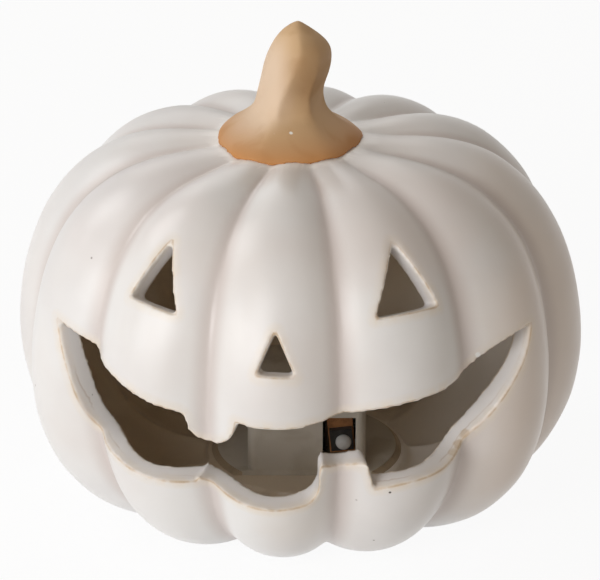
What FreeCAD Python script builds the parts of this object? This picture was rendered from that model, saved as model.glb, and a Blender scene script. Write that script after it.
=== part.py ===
# Ceramic pumpkin lantern: a ribbed stoneware shell with a cut face, a stem, and a battery light unit that
# is glued over the hole in its base. Millimetres. The origin is on the table under the middle of the
# pumpkin, +Z is up and the face looks along -Y.
import FreeCAD, Part
import math
import os
import re
import Sketcher
from FreeCAD import Placement, Rotation, Vector

doc = FreeCAD.newDocument("pumpkin_lantern")
sheet = doc.addObject("Spreadsheet::Sheet", "sizes")

# Every alias has an underscore in it, which is how bind() below knows a cell's name from a function's.
cells = [
    # pumpkin
    ("rib_centre", 57.4, "height of the point that the ribs and the cut openings radiate from"),
    ("body_wall", 6.5, "thickness of the ceramic, measured towards the rib centre"),
    ("face_plane", 85, "distance in front of the rib centre of the plane that the face is drawn on"),
    ("floor_height", 7.4, "top of the flat seat for the light unit"),
    ("seat_radius", 32, "flat seat inside the floor"),
    ("seat_under", 3, "underside of the disc that makes the seat, inside the floor's thickness"),
    ("vent_start", 50, "foot of the vent above the rib centre"),
    ("base_hole", 18.5, "radius of the hole in the floor"),
    ("vent_hole", 5, "radius of the firing vent up into the stem"),
    ("trim_width", 300, "side of the slab that levels the feet"),
    ("trim_depth", 50, "depth of the slab that levels the feet"),
    # light unit: its own frame stands on the seat, with -Y through its window
    ("unit_x", 2.0, "middle of the light unit and of the base hole"),
    ("unit_y", 4.7, "middle of the light unit and of the base hole"),
    ("unit_turn", 5.3, "degrees that the unit is glued off square"),
    ("flange_radius", 28.5, "foot of the light unit, round but for its front, which is flush with the case"),
    ("plate_thick", 1.6, "foot and well mouldings"),
    ("bead_width", 1.8, "glue bead round the foot"),
    ("bead_height", 1.3, "glue bead round the foot"),
    ("case_width", 37, "outside of the case"),
    ("case_depth", 40, "outside of the case"),
    ("case_top", 27, "top of the case above the seat"),
    ("case_wall", 1.6, "walls and roof of the case"),
    ("case_corner", 2.5, "radius of the upright corners"),
    ("window_width", 10.3, "window for the lamp"),
    ("window_height", 13.7, "window for the lamp"),
    ("window_middle", 10.15, "how far right of the case's middle the window is"),
    ("window_sill", 6.3, "bottom edge of the window above the seat"),
    ("boss_radius", 2.4, "screw bosses in the case"),
    ("boss_x", 14.8, "screw bosses from the middle"),
    ("boss_y", 16.2, "screw bosses from the middle"),
    ("rib_length", 5, "rib under the roof that backs the board"),
    ("rib_bottom", 16, "rib under the roof that backs the board"),
    ("screw_radius", 0.9, "case screws"),
    ("screw_head", 2.0, "case screws, radius of the countersunk head"),
    ("screw_sink", 1.2, "depth of the countersinks"),
    ("screw_inset", 0.2, "how far the heads are below the foot's face"),
    ("screw_length", 9, "case screws"),
    # battery well, cells and cap
    ("well_x", -2.8, "axis of the battery well from the unit's middle"),
    ("cell_radius", 10, "3 volt coin cell"),
    ("cell_thick", 3.2, "3 volt coin cell"),
    ("cell_floor", 2.9, "underside of the lower cell above the seat"),
    ("well_radius", 10.6, "bore round the cells"),
    ("well_wall", 1.4, "wall of the battery well"),
    ("well_roof", 11.6, "underside of the roof over the cells"),
    ("chamber_radius", 12.6, "room in which the cap's lugs turn"),
    ("chamber_wall", 1.2, "wall round that room"),
    ("chamber_top", 3.4, "top of that room"),
    ("shelf_top", 4.4, "ledge between that room and the bore"),
    ("cap_hole", 10.8, "radius of the hole that the cap plugs"),
    ("cap_rim", 13.5, "radius of the cap outside"),
    ("cap_thick", 1.9, "thickness of the cap outside"),
    ("cap_gap", 0.1, "running gap over the cap's rim"),
    ("plug_radius", 10.4, "plug of the cap"),
    ("plug_top", 2.8, "top of the plug above the seat"),
    ("lug_radius", 12.2, "reach of the cap's two lugs"),
    ("lug_thick", 1.0, "thickness of the cap's two lugs"),
    ("lug_width", 4.0, "width of the cap's two lugs"),
    ("lock_turn", 60, "degrees from locked to open, clockwise from above"),
    ("slot_length", 15, "coin slot across the cap"),
    ("slot_width", 1.8, "coin slot across the cap"),
    ("slot_depth", 1.0, "coin slot across the cap"),
    ("spring_thick", 0.3, "contact springs"),
    ("spring_width", 3.0, "contact springs"),
    ("tab_top", 15, "top of the solder tabs above the seat"),
    # slide switch
    ("switch_x", 14.2, "middle of the switch from the unit's middle"),
    ("can_width", 4.0, "steel can of the switch"),
    ("can_length", 8.8, "steel can of the switch"),
    ("can_height", 3.4, "steel can of the switch"),
    ("can_skin", 0.3, "steel can of the switch"),
    ("ear_length", 16, "fixing ears of the switch, tip to tip"),
    ("ear_screw", 6.2, "switch screws from the middle of the switch"),
    ("ear_shank", 0.8, "radius of the switch screws"),
    ("shank_start", 0.4, "end of the switch screws, inside the foot"),
    ("knob_width", 2.0, "stem of the knob"),
    ("knob_length", 2.4, "stem of the knob"),
    ("terminal_width", 0.6, "switch terminals, square"),
    ("terminal_length", 2.5, "how far the terminals stand out"),
    ("terminal_pitch", 2.5, "between the switch terminals"),
    ("cross_length", 2.4, "cross slot in the case screws"),
    ("cross_width", 0.5, "each arm of the cross"),
    ("cross_depth", 0.8, "depth of the cross"),
    ("resistor_radius", 0.8, "resistor"),
    ("resistor_length", 3.2, "resistor's body"),
    ("resistor_span", 5.2, "between the outer sides of its legs"),
    ("resistor_wire", 0.4, "resistor's legs, square"),
    ("chip_radius", 2.3, "drop of resin over the timer chip"),
    ("chip_height", 1.0, "height of the drop"),
    ("knob_drop", 1.6, "how far the knob stands out under the foot"),
    ("knob_travel", 1.7, "slide each way from the middle position"),
    # circuit board and lamp: their frame is the middle of the board, with -Y out of the window
    ("board_x", 10.8, "middle of the board from the unit's middle"),
    ("board_y", -17.8, "front face of the board"),
    ("board_z", 13.2, "middle of the board above the seat"),
    ("board_tilt", -6, "degrees that the board leans in its window"),
    ("board_width", 8, "circuit board"),
    ("board_height", 12, "circuit board"),
    ("board_thick", 1.6, "circuit board"),
    ("holder_width", 7, "square collar round the lamp"),
    ("holder_height", 7.2, "square collar round the lamp"),
    ("holder_depth", 2, "square collar round the lamp"),
    ("holder_drop", 0.9, "how far the collar is below the board's middle"),
    ("lamp_radius", 2.5, "5 mm lamp"),
    ("lamp_x", 0.5, "lamp from the middle of the board"),
    ("lamp_drop", 1.6, "how far the lamp is below the board's middle"),
    ("lead_width", 0.5, "square leads of the lamp"),
    ("lead_pitch", 2.54, "spacing of the leads"),
    ("wire_radius", 0.6, "insulated wires"),
]
for row, (alias, value, note) in enumerate(cells, start=1):
    sheet.set("A%d" % row, alias)
    sheet.set("B%d" % row, str(value))
    sheet.setAlias("B%d" % row, alias)
    sheet.set("C%d" % row, note)
doc.recompute()


def size(alias):
    return float(sheet.get(alias))


def bind(thing, prop, formula):
    thing.setExpression(prop, re.sub(r"[a-z]+(?:_[a-z]+)+", r"sizes.\g<0>", str(formula)))


def stand(thing, at):
    for axis, formula in zip("xyz", at):
        bind(thing, "Placement.Base." + axis, formula)
    return thing


# Part primitives, bound to the sheet


def box(name, length, width, height, at=(0, 0, 0)):
    thing = doc.addObject("Part::Box", name)
    bind(thing, "Length", length)
    bind(thing, "Width", width)
    bind(thing, "Height", height)
    return stand(thing, at)


def cylinder(name, radius, height, at=(0, 0, 0), along=Vector(0, 0, 1)):
    thing = doc.addObject("Part::Cylinder", name)
    thing.Placement = Placement(Vector(), Rotation(Vector(0, 0, 1), along))
    bind(thing, "Radius", radius)
    bind(thing, "Height", height)
    return stand(thing, at)


def cone(name, foot, top, height, at=(0, 0, 0)):
    thing = doc.addObject("Part::Cone", name)
    bind(thing, "Radius1", foot)
    bind(thing, "Radius2", top)
    bind(thing, "Height", height)
    return stand(thing, at)


def fuse(name, pieces):
    thing = doc.addObject("Part::MultiFuse", name)
    thing.Shapes = pieces
    return thing


def cut(name, blank, tools):
    thing = doc.addObject("Part::Cut", name)
    thing.Base = blank
    thing.Tool = tools[0] if len(tools) == 1 else fuse(name + "_tools", tools)
    return thing


def group(name, pieces):
    thing = doc.addObject("Part::Compound", name)
    thing.Links = pieces
    return thing


def shaped(name, shape):
    thing = doc.addObject("Part::Feature", name)
    thing.Shape = shape
    return thing


# PartDesign features, bound to the sheet


def attach(body, name, role, level):
    sketch = body.newObject("Sketcher::SketchObject", name)
    plane = [part for part in body.Origin.OriginFeatures if part.Role == role][0]
    sketch.AttachmentSupport = [(plane, "")]
    sketch.MapMode = "FlatFace"
    bind(sketch, "AttachmentOffset.Base.z", level)
    return sketch


def rectangle(body, name, role, length, width, middle=(0, 0), level=0):
    sketch = attach(body, name, role, level)
    corners = [Vector(-1, -1, 0), Vector(1, -1, 0), Vector(1, 1, 0), Vector(-1, 1, 0)]
    for start, end in zip(corners, corners[1:] + corners[:1]):
        sketch.addGeometry(Part.LineSegment(start, end), False)
    for line in range(4):
        sketch.addConstraint(Sketcher.Constraint("Coincident", line, 2, (line + 1) % 4, 1))
        sketch.addConstraint(Sketcher.Constraint("Vertical" if line % 2 else "Horizontal", line))
    measured = [("DistanceX", 0, 1, 0, 2, length), ("DistanceY", 1, 1, 1, 2, width),
                ("DistanceX", -1, 1, 0, 1, "%s - (%s) / 2" % (middle[0], length)),
                ("DistanceY", -1, 1, 0, 1, "%s - (%s) / 2" % (middle[1], width))]
    for kind, first, firstEnd, second, secondEnd, formula in measured:
        drawn = 2 if first >= 0 else -1
        number = sketch.addConstraint(Sketcher.Constraint(kind, first, firstEnd, second, secondEnd, drawn))
        bind(sketch, "Constraints[%d]" % number, formula)
    return sketch


def circle(body, name, role, radius, middle=(0, 0), level=0):
    sketch = attach(body, name, role, level)
    sketch.addGeometry(Part.Circle(Vector(1, 1, 0), Vector(0, 0, 1), 1), False)
    for kind, formula in [("DistanceX", middle[0]), ("DistanceY", middle[1])]:
        number = sketch.addConstraint(Sketcher.Constraint(kind, -1, 1, 0, 3, 1))
        bind(sketch, "Constraints[%d]" % number, formula)
    number = sketch.addConstraint(Sketcher.Constraint("Radius", 0, 1))
    bind(sketch, "Constraints[%d]" % number, radius)
    return sketch


def pad(body, sketch, height):
    feature = body.newObject("PartDesign::Pad", sketch.Name + "_pad")
    feature.Profile = sketch
    bind(feature, "Length", height)
    return feature


def pocket(body, sketch, depth, upward=False):
    before = body.Shape.Volume
    feature = body.newObject("PartDesign::Pocket", sketch.Name + "_pocket")
    feature.Profile = sketch
    bind(feature, "Length", depth)
    feature.Reversed = upward
    doc.recompute()
    if feature.Shape.Volume > before - 1e-6:
        raise ValueError(sketch.Name + " cuts nothing")
    return feature


# Pumpkin

ribCentre = Vector(0, 0, size("rib_centre"))
# One side's grooves, in degrees round from the face; the other side mirrors them.
grooveAngles = [14, 43, 74, 106, 136, 165]
# (elevation from the rib centre, reach of a rib's crest, depth of the grooves)
ribProfile = [
    (-75, 59.6, 1.0), (-61, 66.4, 2.5), (-48, 77.8, 4.0), (-38, 84.2, 5.5), (-27, 88.0, 7.0),
    (-12, 89.0, 7.6), (3, 87.4, 6.8), (18, 86.3, 5.4), (32, 83.4, 4.1), (46, 77.0, 3.5),
    (58, 68.5, 2.7), (67, 63.2, 1.0), (77, 59.8, 0.3)]
poleReach = (58.0, 57.6)


def ribPoint(elevation, angle, reach):
    across = reach * math.cos(math.radians(elevation))
    rise = reach * math.sin(math.radians(elevation))
    turn = math.radians(angle)
    return ribCentre + Vector(across * math.sin(turn), -across * math.cos(turn), rise)


def ribbedSolid(inset):
    """Twelve ribs between the two poles; inset moves the whole surface towards the rib centre."""
    grooves = sorted(grooveAngles + [-angle for angle in grooveAngles])
    sections = [Part.Vertex(ribPoint(-90, 0, poleReach[0] - inset))]
    for elevation, crest, depth in ribProfile:
        arcs = []
        for start, end in zip(grooves, grooves[1:] + [grooves[0] + 360]):
            low = ribPoint(elevation, start, crest - depth - inset)
            high = ribPoint(elevation, (start + end) / 2, crest - inset)
            far = ribPoint(elevation, end, crest - depth - inset)
            arcs.append(Part.Arc(low, high, far).toShape())
        sections.append(Part.Wire(arcs))
    sections.append(Part.Vertex(ribPoint(90, 0, poleReach[1] - inset)))
    return Part.makeLoft(sections, True, False)


# The face is drawn on the face plane, seen from the rib centre: each run is a line or a smooth curve.
leftEye = [[(-45.1, 66.8), (-55.7, 40.9)], [(-55.7, 40.9), (-33.5, 34.6)], [(-33.5, 34.6), (-45.1, 66.8)]]
rightEye = [[(48.2, 71.0), (33.9, 35.8)], [(33.9, 35.8), (62.7, 42.0)], [(62.7, 42.0), (48.2, 71.0)]]
nose = [[(0.7, 30.3), (-4.5, 16.8)], [(-4.5, 16.8), (6.7, 16.5)], [(6.7, 16.5), (0.7, 30.3)]]
mouth = [
    [(-115.2, 28.3), (-80, 16.7)],                                              # left corner
    [(-80, 16.7), (-74.5, 13.2), (-64, 10.8), (-54, 8.2), (-42, 4.4), (-30, 1.6)],
    [(-30, 1.6), (-27.8, -0.8), (-26.6, -5.0), (-25.4, -6.8)],
    [(-25.4, -6.8), (-21.6, -8.9), (-16.5, -7.8), (-12.6, -4.6), (-10.4, 1.2)],     # upper tooth
    [(-10.4, 1.2), (4, 0.6), (21, 2.4), (33, 5.0), (46, 7.3), (62, 9.2), (74, 11.4), (83, 14.8), (88, 18.2)],
    [(88, 18.2), (101, 23.6), (120, 29.4), (145.4, 34.8)],                      # right corner
    [(145.4, 34.8), (123.6, 14.6), (99.7, -3.5), (86, -14.5), (74, -21.0), (56, -21.7), (40, -21.5),
     (32.1, -23.3)],
    [(32.1, -23.3), (29.6, -14.0)],
    [(29.6, -14.0), (28.6, -13.7), (24.5, -14.8), (20.6, -15.5), (17.4, -14.4), (15, -13.1)],   # lower tooth
    [(15, -13.1), (14.2, -15.0), (14, -21.5), (12.2, -25.2), (8.6, -26.4)],
    [(8.6, -26.4), (-5, -26.4), (-14.5, -25.9), (-20.4, -25.0), (-24.6, -22.4)],
    [(-24.6, -22.4), (-25.6, -23.9)],                                           # notch
    [(-25.6, -23.9), (-35, -23.3), (-47, -22.4), (-60, -21.4), (-70, -22.6), (-79, -21.5), (-87, -15.5),
     (-94.3, -3.6), (-104.4, 13.7), (-115.2, 28.3)]]


def outlineWire(runs, scale):
    """The outline carried towards or away from the rib centre, on a plane parallel to the face plane."""
    edges = []
    for run in runs:
        points = [ribCentre + Vector(x, -size("face_plane"), z) * scale for x, z in run]
        if len(points) == 2:
            edges.append(Part.LineSegment(points[0], points[1]).toShape())
        else:
            curve = Part.BSplineCurve()
            curve.interpolate(points)
            edges.append(curve.toShape())
    return Part.Wire(edges)


nearCut, farCut = 0.38, 1.4
outerForm = shaped("outer_form", ribbedSolid(0))
innerForm = shaped("inner_form", ribbedSolid(size("body_wall")))
openings = [shaped(name, Part.makeLoft([outlineWire(runs, nearCut), outlineWire(runs, farCut)], True, True))
            for name, runs in [("left_eye", leftEye), ("right_eye", rightEye), ("nose", nose),
                               ("mouth", mouth)]]
underTable = box("under_table", "trim_width", "trim_width", "trim_depth",
                 ("-trim_width / 2", "-trim_width / 2", "-trim_depth"))
hollow = cut("hollow_form", outerForm, [underTable, innerForm])
seat = cylinder("floor_seat", "seat_radius", "floor_height - seat_under", ("unit_x", "unit_y", "seat_under"))
baseHole = cylinder("floor_hole", "base_hole", "2 * floor_height", ("unit_x", "unit_y", 0))
vent = cylinder("stem_vent", "vent_hole", "2 * body_wall", (0, 0, "rib_centre + vent_start"))
pumpkinBody = cut("pumpkin_body", fuse("hollow_with_seat", [hollow, seat]), openings + [baseHole, vent])

# Stem

# (height, middle x, middle y, mean radius, height of the ridges as a share of it) from inside the crown up
stemProfile = [
    (108, -3.2, -1.2, 19.8, 0.08), (113, -3.1, -1.2, 21.3, 0.09), (117, -3.2, -1.2, 21.2, 0.10),
    (120.2, -3.3, -0.8, 16.6, 0.13), (122.6, -3.4, -0.4, 12.9, 0.20), (124.6, -3.4, -0.2, 10.8, 0.26),
    (127.5, -3.4, -0.2, 9.6, 0.30), (131.5, -2.9, -0.4, 9.0, 0.30), (136, -1.6, -0.8, 9.2, 0.26),
    (141, -0.3, -1.2, 9.1, 0.22), (145.5, 0.4, -1.4, 7.9, 0.22), (149.5, 0.0, -1.4, 5.0, 0.22),
    (152.2, -0.3, -1.3, 1.9, 0.15)]
stemTip = (153.2, -0.2, -1.3)
# Each ridge: degrees round from the front at the foot and at the tip, half width, share at foot and at tip.
stemRidges = [(-30, 14, 62, 1.0, 1.0), (37, 52, 44, 1.0, 0.15), (98, 100, 56, 0.8, 1.0),
              (160, 185, 56, 0.9, 0.8), (225, 262, 58, 0.9, 0.9)]
ridgeMean = 0.33            # taken off, so that the ridges leave the mean radius as it is
ridgeSharpness = 1.7
stemHollow = 0.55           # of the radius, below the bulb
boreSections = 8
sectionPoints = 40


def stemSection(height, middleX, middleY, radius, ridgeHeight):
    rise = (height - stemProfile[0][0]) / (stemTip[0] - stemProfile[0][0])
    points = []
    for step in range(sectionPoints):
        angle = 360 * step / sectionPoints
        ridges = -ridgeMean
        for foot, tip, halfWidth, footShare, tipShare in stemRidges:
            away = abs((angle - foot - (tip - foot) * rise + 180) % 360 - 180)
            share = footShare + (tipShare - footShare) * rise
            ridges += share * max(0, 1 - away / halfWidth) ** ridgeSharpness
        reach = radius * (1 + ridgeHeight * ridges)
        turn = math.radians(angle)
        points.append(Vector(middleX + reach * math.sin(turn), middleY - reach * math.cos(turn), height))
    curve = Part.BSplineCurve()
    curve.interpolate(points, PeriodicFlag=True)
    return Part.Wire([curve.toShape()])


stemForm = shaped("stem_form", Part.makeLoft(
    [stemSection(*row) for row in stemProfile] + [Part.Vertex(Vector(stemTip[1], stemTip[2], stemTip[0]))],
    True, False))
stemBore = shaped("stem_bore", Part.makeLoft(
    [stemSection(height, x, y, radius * stemHollow, ridge)
     for height, x, y, radius, ridge in stemProfile[:boreSections]], True, False))
stem = cut("stem", stemForm, [outerForm, stemBore])

# Light unit

unitPlace = Placement(Vector(size("unit_x"), size("unit_y"), size("floor_height")),
                      Rotation(Vector(0, 0, 1), size("unit_turn")))
boardPlace = unitPlace.multiply(Placement(Vector(size("board_x"), size("board_y"), size("board_z")),
                                          Rotation(Vector(0, 1, 0), size("board_tilt"))))
nodes = [pumpkinBody, stem]


def unitPiece(thing, place=unitPlace):
    thing.Placement = place
    nodes.append(thing)
    return thing


def newBody(name):
    return doc.addObject("PartDesign::Body", name)


screwSpots = [("-boss_x", "-boss_y"), ("-boss_x", "boss_y"), ("boss_x", "boss_y")]


def lightCase():
    case = newBody("light_case")
    low, high = "plate_thick", "case_top - plate_thick"
    pad(case, rectangle(case, "case_block", "XY_Plane", "case_width", "case_depth", level=low), high)
    doc.recompute()
    corners = ["Edge%d" % (number + 1) for number, edge in enumerate(case.Shape.Edges)
               if abs(edge.tangentAt(edge.FirstParameter).z) > 0.9]
    block = case.Tip
    rounded = case.newObject("PartDesign::Fillet", "case_corners")
    rounded.Base = (block, corners)
    bind(rounded, "Radius", "case_corner")
    doc.recompute()
    inside = rectangle(case, "case_inside", "XY_Plane", "case_width - 2 * case_wall",
                       "case_depth - 2 * case_wall", level=low)
    pocket(case, inside, "case_top - plate_thick - case_wall", upward=True)
    for number, (x, y) in enumerate(screwSpots):
        boss = circle(case, "case_boss_%d" % number, "XY_Plane", "boss_radius", (x, y), low)
        pad(case, boss, "case_top - plate_thick - case_wall / 2")
    rib = rectangle(case, "board_rib", "XY_Plane", "rib_length", "case_wall",
                    ("board_x - 0.5", "board_y + board_thick + case_wall / 2"), "rib_bottom")
    pad(case, rib, "case_top - rib_bottom - case_wall / 2")
    doc.recompute()
    window = rectangle(case, "case_window", "XZ_Plane", "window_width", "window_height",
                       ("window_middle", "window_sill + window_height / 2"), "case_depth / 2")
    pocket(case, window, "case_wall")
    for number, (x, y) in enumerate(screwSpots):
        pilot = circle(case, "case_pilot_%d" % number, "XY_Plane", "screw_radius", (x, y), low)
        pocket(case, pilot, "screw_length + 1", upward=True)
    return unitPiece(case)


def beforeCase(name):
    """The space in front of the case, which the foot and its glue keep out of."""
    return box(name, 80, 20, 10, (-40, "-case_depth / 2 - 20", -5))


def basePlate():
    foot = cylinder("foot_disc", "flange_radius", "plate_thick")
    chamber = cylinder("chamber_outside", "chamber_radius + chamber_wall", "shelf_top", ("well_x", 0, 0))
    well = cylinder("well_outside", "well_radius + well_wall", "well_roof + 1", ("well_x", 0, 0))
    tools = [
        cylinder("cap_way", "cap_hole", 20, ("well_x", 0, -10)),
        cylinder("chamber_inside", "chamber_radius", "chamber_top - plate_thick",
                 ("well_x", 0, "plate_thick")),
        cylinder("well_inside", "well_radius", "well_roof - 1", ("well_x", 0, 1)),
        box("switch_slot", "knob_width + 0.8", "knob_length + 2 * knob_travel + 0.8", 10,
            ("switch_x - knob_width / 2 - 0.4", "-knob_length / 2 - knob_travel - 0.4", -5)),
        box("negative_slot", 0.8, "spring_width + 0.6", 5,
            ("well_x + 4.6", "-spring_width / 2 - 0.3", "well_roof - 1")),
        box("positive_slot", 0.8, "spring_width + 0.6", 5,
            ("well_x - well_radius - 0.1", "-spring_width / 2 - 0.3", "well_roof - 1"))]
    notch = box("lug_notch", "2 * lug_radius + 0.6", "lug_width + 0.8", 10,
                ("-lug_radius - 0.3", "-lug_width / 2 - 0.4", -5))
    turned = group("lug_notches", [notch])
    turned.Placement = Placement(Vector(size("well_x"), 0, 0), Rotation(Vector(0, 0, 1), -size("lock_turn")))
    aboveChamber = box("above_chamber", 80, 80, 20, (-40, -40, "chamber_top"))
    tools.append(cut("notches_below_shelf", turned, [aboveChamber]))
    for number, (x, y) in enumerate(screwSpots):
        tools.append(cylinder("screw_mouth_%d" % number, "screw_head", "screw_inset", (x, y, 0)))
        tools.append(cone("screw_sink_%d" % number, "screw_head", "screw_radius", "screw_sink",
                          (x, y, "screw_inset")))
        tools.append(cylinder("screw_way_%d" % number, "screw_radius", 5, (x, y, 0)))
    for number, side in enumerate([-1, 1]):
        spot = ("switch_x", "%d * ear_screw" % side, "shank_start")
        tools.append(cylinder("ear_way_%d" % number, "ear_shank", "plate_thick", spot))
    tools.append(beforeCase("foot_front"))
    return unitPiece(cut("base_plate", fuse("base_blank", [foot, chamber, well]), tools))


def glueBead():
    ring = cone("bead_outside", "flange_radius + bead_width", "flange_radius + 0.4", "bead_height")
    tools = [cylinder("bead_inside", "flange_radius", 5, (0, 0, -1)), beforeCase("bead_front")]
    return unitPiece(cut("glue_bead", ring, tools))


def batteryCap():
    cap = newBody("battery_cap")
    disc = circle(cap, "cap_disc", "XY_Plane", "cap_rim", level="-cap_thick - cap_gap")
    pad(cap, disc, "cap_thick")
    pad(cap, circle(cap, "cap_plug", "XY_Plane", "plug_radius", level="-cap_thick"), "cap_thick + plug_top")
    lugs = rectangle(cap, "cap_lugs", "XY_Plane", "2 * lug_radius", "lug_width",
                     level="plug_top - lug_thick")
    pad(cap, lugs, "lug_thick")
    doc.recompute()
    slot = rectangle(cap, "coin_slot", "XY_Plane", "slot_length", "slot_width",
                     level="-cap_thick - cap_gap")
    pocket(cap, slot, "slot_depth", upward=True)
    return unitPiece(cap, unitPlace.multiply(Placement(Vector(size("well_x"), 0, 0), Rotation())))


def coinCells():
    for name, level in [("lower", "cell_floor"), ("upper", "cell_floor + cell_thick")]:
        unitPiece(fuse("coin_cell_" + name, [
            cylinder(name + "_can", "cell_radius", "cell_thick - 0.6", ("well_x", 0, level)),
            cylinder(name + "_lid", "cell_radius - 1.2", "cell_thick", ("well_x", 0, level))]))


def bentStrip(points, thick, width):
    """A flat spring bent along points in the XZ plane, centred on the plane Y = 0."""
    sides = []
    for number, point in enumerate(points):
        before = points[max(number - 1, 0)]
        after = points[min(number + 1, len(points) - 1)]
        into = (point - before).normalize() if number else (after - point).normalize()
        out = (after - point).normalize() if number < len(points) - 1 else into
        middle = (into + out).normalize()
        normal = Vector(-middle.z, 0, middle.x)
        reach = thick / 2 / middle.dot(into)
        sides.append((point + normal * reach, point - normal * reach))
    loop = [side[0] for side in sides] + [side[1] for side in reversed(sides)]
    loop = [Vector(point.x, -width / 2, point.z) for point in loop]
    return Part.Face(Part.makePolygon(loop + loop[:1])).extrude(Vector(0, width, 0))


def contactSprings():
    middle, thick, wide = size("well_x"), size("spring_thick"), size("spring_width")
    roof, touch = size("well_roof"), size("cell_floor") + 2 * size("cell_thick")
    flat = roof - thick / 2
    spring = [(-6, flat), (-3.4, flat), (-0.8, touch + thick / 2), (0.8, touch + thick / 2), (3.4, flat),
              (5, flat), (5, size("tab_top"))]
    unitPiece(shaped("negative_contact", bentStrip(
        [Vector(middle + x, 0, z) for x, z in spring], thick, wide)))
    side, press = size("cell_radius") + 0.3, size("cell_radius") + thick / 2
    clip = [(side, 3.6), (press, 4.4), (press, 4.8), (side, 5.8), (side, size("tab_top"))]
    unitPiece(shaped("positive_contact", bentStrip(
        [Vector(middle - x, 0, z) for x, z in clip], thick, wide)))


def slideSwitch():
    can = fuse("switch_blank", [
        box("switch_can", "can_width", "can_length", "can_height",
            ("switch_x - can_width / 2", "-can_length / 2", "plate_thick")),
        box("switch_ears", "can_width", "ear_length", "can_skin",
            ("switch_x - can_width / 2", "-ear_length / 2", "plate_thick"))])
    tools = [
        box("switch_room", "can_width - 2 * can_skin", "can_length - 2 * can_skin", "can_height",
            ("switch_x - can_width / 2 + can_skin", "-can_length / 2 + can_skin", "plate_thick + can_skin")),
        box("knob_way", "knob_width + 0.4", "knob_length + 2 * knob_travel + 0.4", 5,
            ("switch_x - knob_width / 2 - 0.2", "-knob_length / 2 - knob_travel - 0.2", 0))]
    screws = []
    for number, side in enumerate([-1, 1]):
        spot = ("switch_x", "%d * ear_screw" % side)
        tools.append(cylinder("ear_hole_%d" % number, "ear_shank", 5, spot + (0,)))
        screws.append(fuse("switch_screw_%d" % number, [
            cylinder("ear_thread_%d" % number, "ear_shank", "plate_thick + can_skin - shank_start",
                     spot + ("shank_start",)),
            cylinder("ear_head_%d" % number, 1.5, 0.9, spot + ("plate_thick + can_skin",))]))
    unitPiece(cut("switch_frame", can, tools))
    unitPiece(group("switch_screws", screws))
    slab = box("switch_slab", "can_width - 2 * can_skin", "can_length - 2 * can_skin", 1.2,
               ("switch_x - can_width / 2 + can_skin", "-can_length / 2 + can_skin",
                "plate_thick + can_height - 1.2"))
    unitPiece(group("switch_base", [slab]))
    unitPiece(group("switch_terminals", [
        box("terminal_%d" % number, "terminal_width", "terminal_width", "terminal_length",
            ("switch_x - terminal_width / 2", "%d * terminal_pitch - terminal_width / 2" % (number - 1),
             "plate_thick + can_height"))
        for number in range(3)]))
    knob = newBody("switch_knob")
    pad(knob, rectangle(knob, "knob_foot", "XY_Plane", "knob_width + 0.8", "knob_length + 1.2",
                        level="plate_thick + can_skin + 0.1"), 1)
    pad(knob, rectangle(knob, "knob_stem", "XY_Plane", "knob_width", "knob_length", level="-knob_drop"),
        "knob_drop + plate_thick + can_skin + 0.6")
    doc.recompute()
    for number in range(3):
        grip = rectangle(knob, "knob_grip_%d" % number, "XY_Plane", "knob_width", 0.3,
                         (0, 0.7 * (number - 1)), "-knob_drop")
        pocket(knob, grip, 0.3, upward=True)
    unitPiece(knob, unitPlace.multiply(Placement(Vector(size("switch_x"), 0, 0), Rotation())))


def caseScrews():
    screws = []
    for number, (x, y) in enumerate(screwSpots):
        screw = fuse("screw_blank_%d" % number, [
            cone("screw_head_%d" % number, "screw_head", "screw_radius", "screw_sink",
                 (x, y, "screw_inset")),
            cylinder("screw_shank_%d" % number, "screw_radius", "screw_length", (x, y, "screw_inset"))])
        cross = [
            box("cross_a_%d" % number, "cross_length", "cross_width", "cross_depth",
                ("%s - cross_length / 2" % x, "%s - cross_width / 2" % y, 0)),
            box("cross_b_%d" % number, "cross_width", "cross_length", "cross_depth",
                ("%s - cross_width / 2" % x, "%s - cross_length / 2" % y, 0))]
        screws.append(cut("case_screw_%d" % number, screw, cross))
    unitPiece(group("case_screws", screws))


# Board and lamp


def lampLeads(name, front, back):
    return [box("%s_%d" % (name, number), "lead_width", "%s - %s" % (back, front), "lead_width",
                ("lamp_x + %s * lead_pitch / 2 - lead_width / 2" % side, front,
                 "-lamp_drop - lead_width / 2"))
            for number, side in enumerate(["-1", "1"])]


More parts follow.
